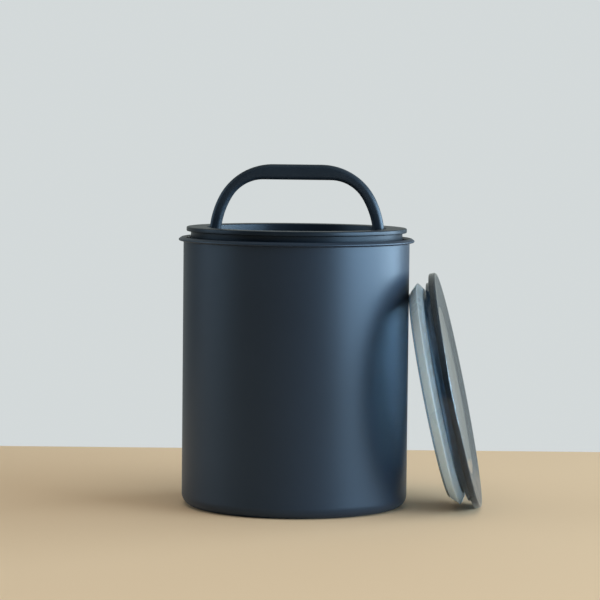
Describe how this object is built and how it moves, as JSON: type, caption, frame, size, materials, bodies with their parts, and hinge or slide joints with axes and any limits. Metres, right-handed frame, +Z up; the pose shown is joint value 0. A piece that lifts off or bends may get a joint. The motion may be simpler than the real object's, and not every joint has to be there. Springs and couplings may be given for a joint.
{
  "type": "coffee canister with valve",
  "caption": "Round steel food canister with a sliding inner lid, a vent valve worked by its folding handle, and a loose see-through outer lid leaning on its side.",
  "frame": {"origin": "centre of the canister's flat base, on its axis", "axes": "+Z up the canister's axis, +X towards the outer lid that leans on its side, handle arch in the XZ plane"},
  "size_m": [0.2319, 0.1846, 0.2582],
  "materials": {
    "charcoal_coat": "matte powder coat outside, bare satin steel inside",
    "black_moulding": "fine-grained moulded plastic",
    "dark_moulding": "satin moulded plastic",
    "smoked_plastic": "clear smoky plastic, glossy",
    "clear_silicone": "pale translucent silicone",
    "grey_silicone": "matt silicone",
    "stainless": "bright turned steel"
  },
  "bodies": {
    "canister": {"canister_body": "charcoal_coat"},
    "inner_lid": {"plunger_shell": "dark_moulding", "wiper_seal": "grey_silicone", "seal_retaining_ring": "black_moulding", "vent_cap": "black_moulding", "bearing_cap_left": "black_moulding", "bearing_cap_right": "black_moulding", "bearing_screws": "stainless", "valve_spring": "stainless"},
    "handle": {"handle_arch": "black_moulding", "drive_pins": "stainless", "cam_shaft": "stainless"},
    "valve": {"valve_stem": "stainless", "upper_washer": "stainless", "valve_disc": "grey_silicone", "lower_washer": "stainless", "retaining_clip": "stainless"},
    "outer_lid": {"lid_shell": "smoked_plastic", "lid_gasket": "clear_silicone"}
  },
  "joints": [
    {"name": "inner_lid_slide", "type": "slide", "parent": "canister", "child": "inner_lid", "axis": [0, 0, 1], "range_m": [-0.162, 0.06]},
    {"name": "handle_fold", "type": "hinge", "parent": "inner_lid", "child": "handle", "pos_m": [0, 0, 0.203], "axis": [1, 0, 0], "range_deg": [0, 90]},
    {"name": "valve_lift", "type": "slide", "parent": "inner_lid", "child": "valve", "axis": [0, 0, 1], "range_m": [0, 0.0024], "deforming": ["valve_spring"]},
    {"name": "outer_lid_take_away", "type": "slide", "parent": "canister", "child": "outer_lid", "axis": [0.9778, 0, 0.2096], "range_m": [0, 0.12]}
  ],
  "couplings": [
    {"joint": "valve_lift", "follows": "handle_fold", "m_per_rad": 0.0015279}
  ]
}
